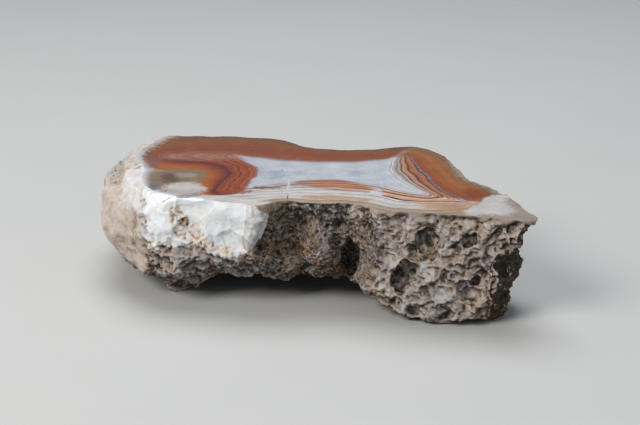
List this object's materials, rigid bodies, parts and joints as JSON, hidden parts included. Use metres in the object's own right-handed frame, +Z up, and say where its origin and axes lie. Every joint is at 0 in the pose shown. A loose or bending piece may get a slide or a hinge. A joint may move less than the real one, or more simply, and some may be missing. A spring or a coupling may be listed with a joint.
{
  "type": "sumatra agate",
  "caption": "Thick piece of banded agate in rough pitted matrix, sawn and polished on top, that lies on a surface.",
  "frame": {"origin": "under the middle of the stone's bounding box, on the surface it rests on", "axes": "+X along the stone towards its pointed end, +Y away from the broken front with the recess, +Z up out of the polished face"},
  "size_m": [0.0768, 0.0554, 0.0205],
  "materials": {
    "stone": "polished orange, white and grey-blue banded face; rough white and brown-grey pitted sides"
  },
  "bodies": {
    "root": {"agate": "stone"}
  },
  "joints": []
}
